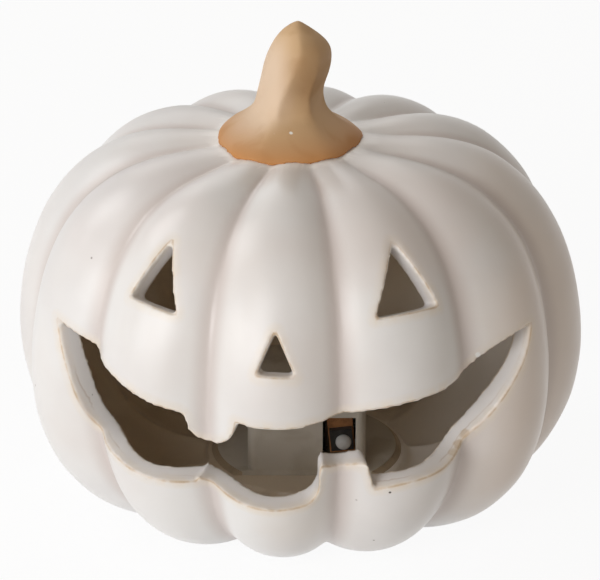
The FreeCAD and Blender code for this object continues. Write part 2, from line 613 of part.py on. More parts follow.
def boardAndLamp():
    back = "board_thick"
    unitPiece(cut("circuit_board", box("board_blank", "board_width", "board_thick", "board_height",
                                       ("-board_width / 2", 0, "-board_height / 2")),
                  lampLeads("board_lead_hole", "-holder_depth", back)), boardPlace)
    outward = Vector(0, -1, 0)
    spot = ("lamp_x", 0, "-lamp_drop")
    collar = box("collar_block", "holder_width", "holder_depth", "holder_height",
                 ("-holder_width / 2", "-holder_depth", "-holder_height / 2 - holder_drop"))
    collarBore = cylinder("collar_bore", "lamp_radius", "holder_depth", spot, outward)
    unitPiece(cut("led_holder", collar, [collarBore]), boardPlace)
    dome = doc.addObject("Part::Sphere", "lens_dome")
    bind(dome, "Radius", "lamp_radius")
    stand(dome, ("lamp_x", "-holder_depth", "-lamp_drop"))
    barrel = cylinder("lens_barrel", "lamp_radius", "holder_depth", spot, outward)
    behindBoard = box("lens_back", 20, 10, 20, (-10, 0, -10))
    blank = cut("lens_blank", fuse("lens_form", [dome, barrel]), [behindBoard])
    unitPiece(cut("led_lens", blank, lampLeads("lens_lead_hole", "-holder_depth - 0.6", back)), boardPlace)
    unitPiece(group("led_leads", lampLeads("lead", "-holder_depth - 0.6", "board_thick + 0.8")), boardPlace)
    chip = doc.addObject("Part::Ellipsoid", "chip_dome")
    for prop, value in [("Radius1", "chip_height"), ("Radius2", "chip_radius"), ("Radius3", "chip_radius")]:
        bind(chip, prop, value)
    chip.Placement = Placement(Vector(), Rotation(Vector(0, 0, 1), Vector(0, 1, 0)))
    stand(chip, (-1.2, back, -3.4))
    inBoard = box("chip_under", 20, 10, 20, (-10, "board_thick - 10", -10))
    unitPiece(cut("timer_chip", chip, [inBoard]), boardPlace)
    leg = ["resistor_wire", "resistor_radius", "resistor_wire"]
    unitPiece(fuse("resistor", [
        cylinder("resistor_body", "resistor_radius", "resistor_length",
                 ("-resistor_length / 2", "board_thick + resistor_radius", "resistor_wire"), Vector(1, 0, 0)),
        box("resistor_across", "resistor_span", "resistor_wire", "resistor_wire",
            ("-resistor_span / 2", "board_thick + resistor_radius - resistor_wire / 2", "resistor_wire / 2")),
        box("resistor_leg_a", *leg, ("-resistor_span / 2", back, "resistor_wire / 2")),
        box("resistor_leg_b", *leg, ("resistor_span / 2 - resistor_wire", back, "resistor_wire / 2"))]),
        boardPlace)


# Wires


def wirePath(route):
    """Straight runs joined by tangent arcs, each as large as its two runs allow."""
    edges = []
    last = route[0]
    for before, corner, after in zip(route, route[1:], route[2:]):
        into, out = corner - before, after - corner
        run = 0.45 * min(into.Length, out.Length)
        start = corner - into * (run / into.Length)
        end = corner + out * (run / out.Length)
        half = math.acos(max(-1, min(1, into.dot(out) / into.Length / out.Length))) / 2
        radius = run / math.tan(half)
        inward = (end - corner).normalize() + (start - corner).normalize()
        centre = corner + inward.normalize() * (radius / math.cos(half))
        middle = centre - inward.normalize() * radius
        edges.append(Part.LineSegment(last, start).toShape())
        edges.append(Part.Arc(start, middle, end).toShape())
        last = end
    edges.append(Part.LineSegment(last, route[-1]).toShape())
    return Part.Wire(edges)


def wire(name, route):
    path = wirePath([Vector(*point) for point in route])
    section = Part.Circle(Vector(*route[0]), path.Edges[0].tangentAt(0), size("wire_radius"))
    ring = Part.Wire([section.toShape()])
    unitPiece(shaped(name, path.makePipeShell([ring], True, False)))
    length = path.Length
    area = math.pi * size("wire_radius") ** 2
    print("%s: %.1f mm long, volume %.3f of section times length" % (
        name, length, nodes[-1].Shape.Volume / area / length))


def wires():
    tab = size("tab_top")
    negative, positive = size("well_x") + 5, size("well_x") - size("cell_radius") - 0.3
    boardBack = size("board_y") + size("board_thick")
    wire("black_wire", [(negative, 0, tab), (negative, 0, tab + 3), (negative + 1.5, -4, tab + 5),
                        (negative + 2.6, -9, tab + 1), (negative + 3, -13, tab - 6),
                        (negative + 3, boardBack + 0.4, tab - 8)])
    wire("red_wire", [(positive, 0, tab), (positive, 0, tab + 3.5), (positive + 6, 3, tab + 6),
                      (0, 6, tab + 5), (8, 6, tab + 1), (size("switch_x"), 4, tab - 3),
                      (size("switch_x"), 2.5, tab - 5), (size("switch_x"), 2.5, 7.5)])
    wire("switch_wire", [(size("switch_x"), 0, 7.5), (size("switch_x"), 0, 10),
                         (size("switch_x") - 0.6, -4, 12), (size("switch_x") - 1.2, -9, 10),
                         (size("switch_x") - 1.4, boardBack + 0.4, 8.6)])


lightCase()
basePlate()
glueBead()
batteryCap()
coinCells()
contactSprings()
slideSwitch()
caseScrews()
boardAndLamp()
wires()

# Checks and export

doc.recompute()
for thing in doc.Objects:
    if "Invalid" in thing.State or "Error" in thing.State:
        raise ValueError("%s failed: %s" % (thing.Label, thing.State))
os.makedirs("parts", exist_ok=True)
for node in nodes:
    shape = node.Shape
    if shape.isNull() or not shape.isValid() or shape.Volume < 1e-3:
        raise ValueError(node.Label + " has no sound shape")
for node in nodes:
    node.Shape.exportStep("parts/%s.step" % node.Label)
    bounds = node.Shape.BoundBox
    print("%-18s %d solid(s) %10.2f mm3  x %.1f..%.1f y %.1f..%.1f z %.1f..%.1f" % (
        node.Label, len(node.Shape.Solids), node.Shape.Volume, bounds.XMin, bounds.XMax, bounds.YMin,
        bounds.YMax, bounds.ZMin, bounds.ZMax))
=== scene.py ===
# Ceramic pumpkin lantern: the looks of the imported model. Lengths are metres in the model's own frame, with
# the origin on the table under the pumpkin, +Z up and the face looking along -Y.
import math

import bmesh
import bpy
import numpy as np
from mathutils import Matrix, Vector, kdtree, noise


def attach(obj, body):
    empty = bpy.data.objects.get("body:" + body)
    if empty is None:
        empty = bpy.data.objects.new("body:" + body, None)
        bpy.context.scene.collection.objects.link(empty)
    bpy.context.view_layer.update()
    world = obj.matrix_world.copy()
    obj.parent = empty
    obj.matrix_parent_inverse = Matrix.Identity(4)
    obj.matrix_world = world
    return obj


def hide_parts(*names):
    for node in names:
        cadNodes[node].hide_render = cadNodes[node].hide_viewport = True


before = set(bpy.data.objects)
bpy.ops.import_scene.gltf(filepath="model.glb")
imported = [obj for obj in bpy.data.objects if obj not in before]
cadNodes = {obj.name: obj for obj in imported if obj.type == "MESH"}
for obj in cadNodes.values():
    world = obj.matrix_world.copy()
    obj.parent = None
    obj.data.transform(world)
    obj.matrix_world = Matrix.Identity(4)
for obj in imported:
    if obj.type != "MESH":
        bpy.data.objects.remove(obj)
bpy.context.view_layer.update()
scene = bpy.context.scene
mm = 0.001
weldDistance = 0.001 * mm       # points of a CAD mesh that are nearer than this are one


cameraView = {
    "target": (0.3 * mm, 0, 64.3 * mm),
    "azimuth": 5.33,            # degrees towards +X from straight ahead
    "elevation": 23.54,
    "distance": 0.9988,
    "lens": 192,
    "sensorWidth": 36,          # millimetres, as the lens
}
studio = {
    "floorSize": 6,
    "floorColour": (0.93, 0.93, 0.925, 1),
    "floorRoughness": 0.9,
    "floorSpecular": 0.1,
    "floorGlow": 0.93,          # share of plain white that the camera and the gloss see in the floor
    "floorBounce": 0.17,        # share of it in the light that the floor gives back
    "skyColour": (1, 1, 1, 1),
    "skyTint": (1.0, 0.80, 0.58, 1),        # of the light from the room, warm on the shaded side
    "skyLight": 0.16,
    "lampDistance": 1.2,
    # name: (power, width, height, degrees round from the face, degrees up, colour)
    "lamps": {
        "keyLight": (5.4, 0.9, 0.5, -42, 12, (0.985, 0.99, 1.0)),
        "fillLight": (3.9, 0.5, 0.6, -24, 26, (0.985, 0.99, 1.0)),
        "sideLight": (3.4, 0.6, 0.6, -108, 44, (0.97, 0.99, 1.0)),
        "backLight": (1.3, 0.6, 0.6, -165, 35, (1.0, 1.0, 1.0)),
        "rightLight": (0.7, 0.6, 0.6, 35, 45, (1.0, 0.86, 0.70)),
    },
}


def outwards(azimuth, elevation):
    # Direction away from the target, from degrees round from the face and degrees up.
    azimuth, elevation = math.radians(azimuth), math.radians(elevation)
    return Vector((math.sin(azimuth) * math.cos(elevation), -math.cos(azimuth) * math.cos(elevation),
                   math.sin(elevation)))


def addCamera():
    outward = outwards(cameraView["azimuth"], cameraView["elevation"])
    lens = bpy.data.cameras.new("camera")
    lens.lens = cameraView["lens"]
    lens.sensor_width = cameraView["sensorWidth"]
    camera = bpy.data.objects.new("camera", lens)
    camera.location = Vector(cameraView["target"]) + outward * cameraView["distance"]
    camera.rotation_euler = outward.to_track_quat("Z", "Y").to_euler()
    scene.collection.objects.link(camera)
    scene.camera = camera


def addLamp(name, power, width, height, azimuth, elevation, colour):
    lamp = bpy.data.lights.new(name, "AREA")
    lamp.energy = power
    lamp.shape = "RECTANGLE"
    lamp.size = width
    lamp.size_y = height
    lamp.color = colour
    stand = bpy.data.objects.new(name, lamp)
    outward = outwards(azimuth, elevation)
    stand.location = Vector(cameraView["target"]) + outward * studio["lampDistance"]
    stand.rotation_euler = outward.to_track_quat("Z", "Y").to_euler()
    scene.collection.objects.link(stand)


def addNode(tree, kind, inputs=None, **settings):
    made = tree.nodes.new(kind)
    for name, value in settings.items():
        setattr(made, name, value)
    for name, value in (inputs or {}).items():
        if isinstance(value, bpy.types.NodeSocket):
            tree.links.new(value, made.inputs[name])
        else:
            made.inputs[name].default_value = value
    return made


def mixed(tree, factor, first, second, blend="MIX"):
    mix = addNode(tree, "ShaderNodeMix", data_type="RGBA", blend_type=blend)
    for index, value in ((0, factor), (6, first), (7, second)):
        if isinstance(value, bpy.types.NodeSocket):
            tree.links.new(value, mix.inputs[index])
        else:
            mix.inputs[index].default_value = value
    return mix.outputs[2]


def calc(tree, operation, *values, clamp=False):
    return addNode(tree, "ShaderNodeMath", dict(enumerate(values)), operation=operation,
                   use_clamp=clamp).outputs[0]


def ramped(tree, value, start, end, low=0.0, high=1.0):
    return addNode(tree, "ShaderNodeMapRange", {"Value": value, "From Min": start, "From Max": end,
                                                "To Min": low, "To Max": high}).outputs["Result"]


def seenDirectly(tree):
    # 1 where the camera, a reflection or a lens looks, 0 for the light that falls on things.
    path = addNode(tree, "ShaderNodeLightPath").outputs
    return calc(tree, "MAXIMUM", path["Is Camera Ray"],
                calc(tree, "MAXIMUM", path["Is Glossy Ray"], path["Is Transmission Ray"]))


def addStudio():
    for name, setting in studio["lamps"].items():
        addLamp(name, *setting)

    world = bpy.data.worlds.new("studioSky")
    world.use_nodes = True
    tree = world.node_tree
    tree.nodes.clear()
    seen = seenDirectly(tree)
    sky = addNode(tree, "ShaderNodeBackground", {
        "Color": mixed(tree, seen, studio["skyTint"], studio["skyColour"]),
        "Strength": ramped(tree, seen, 0, 1, studio["skyLight"], 1)})
    out = addNode(tree, "ShaderNodeOutputWorld", {"Surface": sky.outputs[0]})
    out.is_active_output = True
    scene.world = world

    half = studio["floorSize"] / 2
    mesh = bpy.data.meshes.new("floor")
    mesh.from_pydata([(-half, -half, 0), (half, -half, 0), (half, half, 0), (-half, half, 0)], [],
                     [(0, 1, 2, 3)])
    floor = bpy.data.objects.new("floor", mesh)
    scene.collection.objects.link(floor)
    paper = bpy.data.materials.new("floorPaper")
    paper.use_nodes = True
    tree = paper.node_tree
    shader = tree.nodes["Principled BSDF"]
    shader.inputs["Base Color"].default_value = studio["floorColour"]
    shader.inputs["Roughness"].default_value = studio["floorRoughness"]
    shader.inputs["Specular IOR Level"].default_value = studio["floorSpecular"]
    glow = addNode(tree, "ShaderNodeEmission")
    share = ramped(tree, seenDirectly(tree), 0, 1, studio["floorBounce"], studio["floorGlow"])
    blend = addNode(tree, "ShaderNodeMixShader", {0: share, 1: shader.outputs[0], 2: glow.outputs[0]})
    tree.links.new(blend.outputs[0], tree.nodes["Material Output"].inputs["Surface"])
    mesh.materials.append(paper)
    scene.view_settings.view_transform = "Standard"


def spaced(label):
    # "coarseScale" names the socket "Coarse Scale".
    return "".join(" " + letter if letter.isupper() else letter for letter in label).title()


def newGroup(name, inputs, outputs):
    group = bpy.data.node_groups.new(name, "ShaderNodeTree")
    for label, value in inputs.items():
        socket = group.interface.new_socket(label, in_out="INPUT", socket_type="NodeSocketFloat")
        socket.default_value = value
    for label, kind in outputs.items():
        group.interface.new_socket(label, in_out="OUTPUT", socket_type=kind)
    given = group.nodes.new("NodeGroupInput")
    result = group.nodes.new("NodeGroupOutput")
    return group, given.outputs, result.inputs


def useGroup(tree, name, **values):
    placed = addNode(tree, "ShaderNodeGroup", node_tree=bpy.data.node_groups[name])
    for label, value in values.items():
        placed.inputs[spaced(label)].default_value = value
    return placed.outputs


def makePatches():
    # Cloudy patches: 0 outside them, 1 inside.
    group, given, result = newGroup(
        "patches", {"Scale": 30, "Detail": 3, "Distortion": 0.4, "From": 0.45, "To": 0.65, "Offset": 0},
        {"Mask": "NodeSocketFloat"})
    place = addNode(group, "ShaderNodeTexCoord")
    shift = addNode(group, "ShaderNodeVectorMath", {0: place.outputs["Object"], 1: given["Offset"]},
                    operation="ADD")
    cloud = addNode(group, "ShaderNodeTexNoise", {"Vector": shift.outputs[0], "Scale": given["Scale"],
                                                  "Detail": given["Detail"],
                                                  "Distortion": given["Distortion"]})
    ramp = addNode(group, "ShaderNodeMapRange", {"Value": cloud.outputs["Fac"], "From Min": given["From"],
                                                 "From Max": given["To"]}, interpolation_type="SMOOTHSTEP")
    group.links.new(ramp.outputs["Result"], result["Mask"])


def makeSpecks():
    # Sparse round specks: one cell in so many holds one.
    group, given, result = newGroup("specks", {"Scale": 300, "Size": 0.3, "Share": 0.05},
                                    {"Mask": "NodeSocketFloat"})
    place = addNode(group, "ShaderNodeTexCoord")
    cells = addNode(group, "ShaderNodeTexVoronoi", {"Vector": place.outputs["Object"],
                                                    "Scale": given["Scale"]})
    pick = addNode(group, "ShaderNodeSeparateColor", {"Color": cells.outputs["Color"]})
    chosen = calc(group, "LESS_THAN", pick.outputs["Red"], given["Share"])
    reach = calc(group, "MULTIPLY", given["Size"], pick.outputs["Green"])
    near = addNode(group, "ShaderNodeMapRange", {"Value": cells.outputs["Distance"], "From Min": reach,
                                                 "From Max": 0.0}, interpolation_type="SMOOTHSTEP")
    spot = calc(group, "MULTIPLY", near.outputs["Result"], chosen)
    group.links.new(spot, result["Mask"])


def makeRaggedSpot():
    # One ragged spot round a place on the model: 1 inside it, 0 outside. It lays marks, and painted light and
    # shade too.
    group, given, result = newGroup("raggedSpot", {"X": 0, "Y": 0, "Z": 0, "Radius": 0.001, "Ragged": 0.0005,
                                                "Scale": 700}, {"Mask": "NodeSocketFloat"})
    place = addNode(group, "ShaderNodeTexCoord").outputs["Object"]
    middle = addNode(group, "ShaderNodeCombineXYZ", {axis: given[axis] for axis in "XYZ"}).outputs[0]
    away = addNode(group, "ShaderNodeVectorMath", {0: place, 1: middle}, operation="DISTANCE")
    cloud = addNode(group, "ShaderNodeTexNoise", {"Vector": place, "Scale": given["Scale"], "Detail": 3.0})
    shift = calc(group, "MULTIPLY", calc(group, "SUBTRACT", cloud.outputs["Fac"], 0.5), given["Ragged"])
    spread = calc(group, "ADD", away.outputs["Value"], shift)
    solid = calc(group, "MULTIPLY", given["Radius"], 0.5)      # half of the radius is solid
    fade = addNode(group, "ShaderNodeMapRange", {"Value": spread, "From Min": given["Radius"],
                                                 "From Max": solid}, interpolation_type="SMOOTHSTEP")
    group.links.new(fade.outputs["Result"], result["Mask"])


def makeGrain():
    # Fine unevenness of a surface: coarse waves and fine grain together, as a bent normal.
    group, given, result = newGroup(
        "grain", {"Coarse Scale": 60, "Coarse Height": 0.0001, "Fine Scale": 900, "Fine Height": 0.00001,
                  "Strength": 1.0}, {"Normal": "NodeSocketVector", "Height": "NodeSocketFloat"})
    place = addNode(group, "ShaderNodeTexCoord")
    heights = []
    for scale, height in (("Coarse Scale", "Coarse Height"), ("Fine Scale", "Fine Height")):
        waves = addNode(group, "ShaderNodeTexNoise", {"Vector": place.outputs["Object"],
                                                      "Scale": given[scale], "Detail": 3.0})
        heights.append(calc(group, "MULTIPLY", waves.outputs["Fac"], given[height]))
    total = calc(group, "ADD", *heights)
    bump = addNode(group, "ShaderNodeBump", {"Height": total, "Strength": given["Strength"],
                                             "Distance": 1.0})
    group.links.new(bump.outputs["Normal"], result["Normal"])
    group.links.new(total, result["Height"])


def makeBrushed():
    # Fine streaks along one direction of rolled or drawn metal.
    group, given, result = newGroup("brushed", {"Across": 4000, "Along": 120}, {"Mask": "NodeSocketFloat"})
    place = addNode(group, "ShaderNodeTexCoord")
    squeeze = addNode(group, "ShaderNodeCombineXYZ", {"X": given["Across"], "Y": given["Along"],
                                                      "Z": given["Across"]})
    stretched = addNode(group, "ShaderNodeVectorMath", {0: place.outputs["Object"], 1: squeeze.outputs[0]},
                        operation="MULTIPLY")
    streaks = addNode(group, "ShaderNodeTexNoise", {"Vector": stretched.outputs[0], "Scale": 1.0,
                                                    "Detail": 2.0})
    group.links.new(streaks.outputs["Fac"], result["Mask"])


shaderSockets = {"baseColour": "Base Color", "specular": "Specular IOR Level", "refraction": "IOR"}


def newMaterial(name, **constants):
    material = bpy.data.materials.new(name)
    material.use_nodes = True
    tree = material.node_tree
    shader = tree.nodes["Principled BSDF"]
    for label, value in constants.items():
        shader.inputs[shaderSockets.get(label) or spaced(label)].default_value = value
    return material, tree, shader


def drive(tree, shader, **sources):
    for label, source in sources.items():
        tree.links.new(source, shader.inputs[shaderSockets.get(label) or spaced(label)])


def withRaggedSpots(tree, colour, marks, scale=700):
    for at, radius, ragged, strength, shade in marks:
        x, y, z = (length * mm for length in at)
        spot = useGroup(tree, "raggedSpot", x=x, y=y, z=z, radius=radius * mm, ragged=ragged * mm,
                        scale=scale)["Mask"]
        colour = mixed(tree, calc(tree, "MULTIPLY", spot, strength), colour, shade)
    return colour


def attribute(tree, name):
    return addNode(tree, "ShaderNodeAttribute", attribute_name=name).outputs["Fac"]


glaze = {
    "white": (0.80, 0.79, 0.78, 1),
    "warm": (0.74, 0.675, 0.635, 1),        # pinkish clouds in the white
    "grey": (0.66, 0.64, 0.645, 1),         # thin, greyer glaze
    "groove": (0.60, 0.53, 0.50, 1),        # darker in the grooves: glaze pooled there and painted shade
    "wall": (0.80, 0.775, 0.765, 1),        # thick on the walls of the cuts
    "broken": (0.50, 0.35, 0.21, 1),        # iron brown where the glaze runs off an edge
    "cream": (0.78, 0.69, 0.575, 1),        # halo beside the brown
    "crease": (0.50, 0.41, 0.36, 1),        # fine dark line in the wall just under the edge: painted shade of a crease
    "foot": (0.60, 0.44, 0.29, 1),          # bare clay under the feet
    "speck": (0.10, 0.06, 0.035, 1),
    "collar": (0.93, 0.92, 0.90, 1),        # a thick bead of glaze round the stem
    "inside": (0.80, 0.68, 0.53, 1),
    # how far a band reaches from its middle line, and where that line is, in millimetres from the edge
    "edgeWidth": 0.55, "edgeMiddle": 0.25, "haloWidth": 3.2, "haloMiddle": 0.3,
    "creaseWidth": 0.35, "creaseMiddle": -1.9,
    # strengths, from 0 to 1, and the least and most of those that the patches vary
    "greyShare": 0.45, "warmShare": 0.5, "grooveShare": 0.8, "collarShare": 0.9, "creaseShare": 0.6,
    "haloShares": (0.35, 0.8), "brokenShares": (0.25, 0.9),
    "roughness": (0.29, 0.38),
    "bareRoughness": 0.45,                  # added under the feet
    "wallFrom": (-0.3, -1.0),               # distances down the wall over which its colour sets in
    # place, radius and raggedness in millimetres, strength, colour
    "tintsAndPaintedShading": (
        # the first darkens and warms the right side of the skin: painted shade; the others tint the glaze
        ((82, -10, 52), 75, 40, 0.6, (0.76, 0.635, 0.54, 1)),
        ((30, -42, 104), 34, 30, 0.35, (0.73, 0.64, 0.60, 1)),
        ((-44, -30, 102), 34, 30, 0.3, (0.72, 0.65, 0.64, 1)),
        ((12, -88, 24), 22, 16, 0.3, (0.76, 0.70, 0.63, 1)),
    ),
    # a lighter patch inside on the right: painted light falling in through the mouth
    "insidePaintedLight": (((48, 15, 8), 70, 30, 0.9, (0.93, 0.87, 0.79, 1)),),
    "marks": (
        ((34.0, -78.0, 35.0), 0.55, 0.3, 1.0, (0.05, 0.035, 0.025, 1)),
        ((51.6, -62.6, 41.2), 1.9, 1.6, 0.45, (0.50, 0.37, 0.22, 1)),
        ((53.0, -60.0, 42.8), 2.1, 1.6, 0.55, (0.47, 0.33, 0.18, 1)),
        ((54.6, -57.6, 45.2), 1.9, 1.6, 0.55, (0.48, 0.34, 0.19, 1)),
        # a small lighter spot on the mouth's upper lip: a drop of glaze with a painted highlight
        ((58.1, -56.7, 70.4), 1.1, 0.5, 0.9, (0.86, 0.86, 0.85, 1)),
    ),
}


def band(tree, value, middle, halfWidth):
    # 1 where the value is at the middle, fading to 0 at half the width from it.
    away = calc(tree, "ABSOLUTE", calc(tree, "SUBTRACT", value, middle))
    return ramped(tree, away, halfWidth, 0)


def weakened(tree, mask, share):
    return calc(tree, "MULTIPLY", mask, glaze[share])


def glazeMaterial():
    material, tree, shader = newMaterial("whiteGlaze", specular=0.5)
    greyness = useGroup(tree, "patches", scale=34, detail=3, distortion=0.1, offset=3.0,
                        **{"from": 0.3, "to": 0.8})["Mask"]
    warmth = useGroup(tree, "patches", scale=20, detail=3, distortion=0.1,
                      **{"from": 0.35, "to": 0.75})["Mask"]
    ragged = useGroup(tree, "patches", scale=230, detail=3, distortion=0.3, **{"from": 0.35})["Mask"]
    streaks = useGroup(tree, "patches", scale=70, detail=2, distortion=0.3, offset=7.0)["Mask"]
    rim = attribute(tree, "rim")            # millimetres from the edge of a cut: + on the skin, - on the wall
    wall = ramped(tree, rim, *glaze["wallFrom"])
    colour = mixed(tree, weakened(tree, greyness, "greyShare"), glaze["white"], glaze["grey"])
    colour = mixed(tree, weakened(tree, warmth, "warmShare"), colour, glaze["warm"])
    # tints, and painted shade darkening and warming the right side
    colour = withRaggedSpots(tree, colour, glaze["tintsAndPaintedShading"], scale=30)
    # darker in the grooves: glaze that pools there and painted shade
    colour = mixed(tree, weakened(tree, attribute(tree, "groove"), "grooveShare"), colour, glaze["groove"])
    colour = mixed(tree, weakened(tree, attribute(tree, "collar"), "collarShare"), colour, glaze["collar"])
    colour = mixed(tree, wall, colour, glaze["wall"])
    # a fine dark line down the wall, broken by streaks: painted shade of a crease
    crease = calc(tree, "MULTIPLY", band(tree, rim, glaze["creaseMiddle"], glaze["creaseWidth"]), streaks)
    colour = mixed(tree, weakened(tree, crease, "creaseShare"), colour, glaze["crease"])
    halo = calc(tree, "MULTIPLY", band(tree, rim, glaze["haloMiddle"], glaze["haloWidth"]),
                ramped(tree, ragged, 0, 1, *glaze["haloShares"]))
    colour = mixed(tree, halo, colour, glaze["cream"])
    broken = calc(tree, "MULTIPLY", band(tree, rim, glaze["edgeMiddle"], glaze["edgeWidth"]),
                  ramped(tree, ragged, 0, 1, *glaze["brokenShares"]))
    colour = mixed(tree, broken, colour, glaze["broken"])
    spots = useGroup(tree, "specks", scale=210, size=0.14, share=0.05)["Mask"]
    colour = mixed(tree, spots, colour, glaze["speck"])
    # the inside's colour, lighter on the right with painted light
    lining = withRaggedSpots(tree, glaze["inside"], glaze["insidePaintedLight"], scale=30)
    colour = mixed(tree, attribute(tree, "inside"), colour, lining)
    foot = attribute(tree, "foot")
    # the foot's bare clay and the marks, among them a painted highlight on a drop of glaze
    colour = withRaggedSpots(tree, mixed(tree, foot, colour, glaze["foot"]), glaze["marks"])
    grain = useGroup(tree, "grain", coarseScale=45)
    satin = ramped(tree, greyness, 0, 1, *glaze["roughness"])
    drive(tree, shader, baseColour=colour, normal=grain["Normal"],
          roughness=calc(tree, "ADD", satin, weakened(tree, foot, "bareRoughness")))
    return material


biscuit = {
    "light": (0.60, 0.40, 0.22, 1),
    "dark": (0.49, 0.30, 0.15, 1),
    "toasted": (0.50, 0.205, 0.05, 1),      # flashed orange where the bare clay meets the glaze
    "speck": (0.85, 0.80, 0.72, 1),
    "darkShare": 0.5,
    "speckShare": 0.8,
    "roughness": (0.55, 0.70),
    "tintsAndPaintedShading": (
        # lighter on the stem's left: painted light; darker on its right: painted shade
        ((-17, -8, 136), 21, 8, 0.75, (0.74, 0.58, 0.44, 1)),
        ((10, -12, 138), 17, 8, 0.6, (0.43, 0.25, 0.11, 1)),
    ),
    "marks": (((-1.1, -14.4, 122.0), 0.7, 0.4, 1.0, (0.90, 0.88, 0.83, 1)),),
}


def biscuitMaterial():
    material, tree, shader = newMaterial("bareBiscuit", specular=0.45)
    cloud = useGroup(tree, "patches", scale=90, detail=4, distortion=0.5)["Mask"]
    dark = calc(tree, "MULTIPLY", cloud, biscuit["darkShare"])
    colour = mixed(tree, dark, biscuit["light"], biscuit["dark"])
    # painted light on the stem's left side and painted shade on its right
    colour = withRaggedSpots(tree, colour, biscuit["tintsAndPaintedShading"], scale=70)
    colour = mixed(tree, attribute(tree, "toast"), colour, biscuit["toasted"])
    spots = useGroup(tree, "specks", scale=330, size=0.2, share=0.02)["Mask"]
    colour = mixed(tree, calc(tree, "MULTIPLY", spots, biscuit["speckShare"]), colour, biscuit["speck"])
    colour = withRaggedSpots(tree, colour, biscuit["marks"])
    grain = useGroup(tree, "grain", coarseScale=160, coarseHeight=0.00006, fineScale=2600,
                     fineHeight=0.00002)
    drive(tree, shader, baseColour=colour, normal=grain["Normal"],
          roughness=ramped(tree, cloud, 0, 1, *biscuit["roughness"]))
    return material


plainFinishes = {
    # name: (base colour, second colour, roughness low and high, metallic, patch scale, grain height)
    "casePlastic": ((0.66, 0.615, 0.54, 1), (0.58, 0.53, 0.45, 1), 0.45, 0.58, 0, 70, 0.00002),
    # hot-melt glue, browner and darker than the case: partly the painted shadow of the gap round the base
    # plate
    "glueAndGapShadow": ((0.50, 0.40, 0.28, 1), (0.42, 0.33, 0.23, 1), 0.29, 0.4, 0, 150, 0.00005),
    "phenolic": ((0.36, 0.16, 0.06, 1), (0.26, 0.11, 0.04, 1), 0.42, 0.55, 0, 500, 0.00001),
    "blackPlastic": ((0.018, 0.018, 0.019, 1), (0.03, 0.029, 0.028, 1), 0.38, 0.5, 0, 300, 0.00001),
    "blackResin": ((0.012, 0.012, 0.012, 1), (0.02, 0.02, 0.02, 1), 0.12, 0.22, 0, 200, 0.00002),
    "resistorPaint": ((0.62, 0.49, 0.30, 1), (0.52, 0.40, 0.24, 1), 0.22, 0.3, 0, 500, 0.00001),
    "blackInsulation": ((0.022, 0.022, 0.024, 1), (0.035, 0.034, 0.033, 1), 0.42, 0.55, 0, 400, 0.00001),
    "redInsulation": ((0.48, 0.02, 0.02, 1), (0.36, 0.02, 0.02, 1), 0.40, 0.52, 0, 400, 0.00001),
}
metalFinishes = {
    # name: (base colour, second colour, roughness low and high)
    "cellSteel": ((0.74, 0.73, 0.71, 1), (0.62, 0.61, 0.59, 1), 0.2, 0.34),
    "springPlate": ((0.72, 0.70, 0.66, 1), (0.60, 0.57, 0.50, 1), 0.22, 0.36),
    "switchSteel": ((0.66, 0.65, 0.64, 1), (0.52, 0.51, 0.49, 1), 0.3, 0.45),
    "screwSteel": ((0.60, 0.59, 0.57, 1), (0.45, 0.44, 0.42, 1), 0.28, 0.42),
    "tinnedBrass": ((0.72, 0.62, 0.38, 1), (0.68, 0.66, 0.62, 1), 0.26, 0.4),
    "tinnedSteel": ((0.72, 0.71, 0.70, 1), (0.58, 0.57, 0.55, 1), 0.26, 0.42),
}


def plainMaterial(name):
    first, second, smoothest, roughest, metallic, scale, height = plainFinishes[name]
    material, tree, shader = newMaterial(name, metallic=metallic)
    cloud = useGroup(tree, "patches", scale=scale, detail=4, distortion=0.5)["Mask"]
    grain = useGroup(tree, "grain", coarseScale=scale, coarseHeight=height, fineScale=3200,
                     fineHeight=height / 3)
    drive(tree, shader, baseColour=mixed(tree, cloud, first, second), normal=grain["Normal"],
          roughness=ramped(tree, cloud, 0, 1, smoothest, roughest))
    return material


def metalMaterial(name):
    first, second, smoothest, roughest = metalFinishes[name]
    material, tree, shader = newMaterial(name, metallic=1.0)
    streak = useGroup(tree, "brushed")["Mask"]
    tarnish = useGroup(tree, "patches", scale=240, detail=4, distortion=0.8)["Mask"]
    grain = useGroup(tree, "grain", coarseScale=500, coarseHeight=0.000008, fineScale=4000,
                     fineHeight=0.000003)
    drive(tree, shader, baseColour=mixed(tree, tarnish, first, second), normal=grain["Normal"],
          roughness=ramped(tree, streak, 0.3, 0.7, smoothest, roughest))
    return material


clearLens = {
    "colour": (0.88, 0.88, 0.87, 1),
    "transmission": 0.4,
    "refraction": 1.5,
    "roughness": (0.02, 0.10),
}


def lensMaterial():
    material, tree, shader = newMaterial("clearLens", baseColour=clearLens["colour"],
                                         transmissionWeight=clearLens["transmission"],
                                         refraction=clearLens["refraction"])
    haze = useGroup(tree, "patches", scale=700, detail=3, distortion=0.2)["Mask"]
    drive(tree, shader, roughness=ramped(tree, haze, 0, 1, *clearLens["roughness"]))
    return material


def finalMesh(piece):
    # Applies the piece's modifiers.
    graph = bpy.context.evaluated_depsgraph_get()
    mesh = bpy.data.meshes.new_from_object(piece.evaluated_get(graph))
    piece.modifiers.clear()
    piece.data = mesh
    return mesh


def copyOf(node, name):
    piece = bpy.data.objects.new(name, cadNodes[node].data.copy())
    piece.data.materials.clear()
    scene.collection.objects.link(piece)
    return piece


def weldedForm(mesh):
    form = bmesh.new()
    form.from_mesh(mesh)
    bmesh.ops.remove_doubles(form, verts=form.verts, dist=weldDistance)
    return form


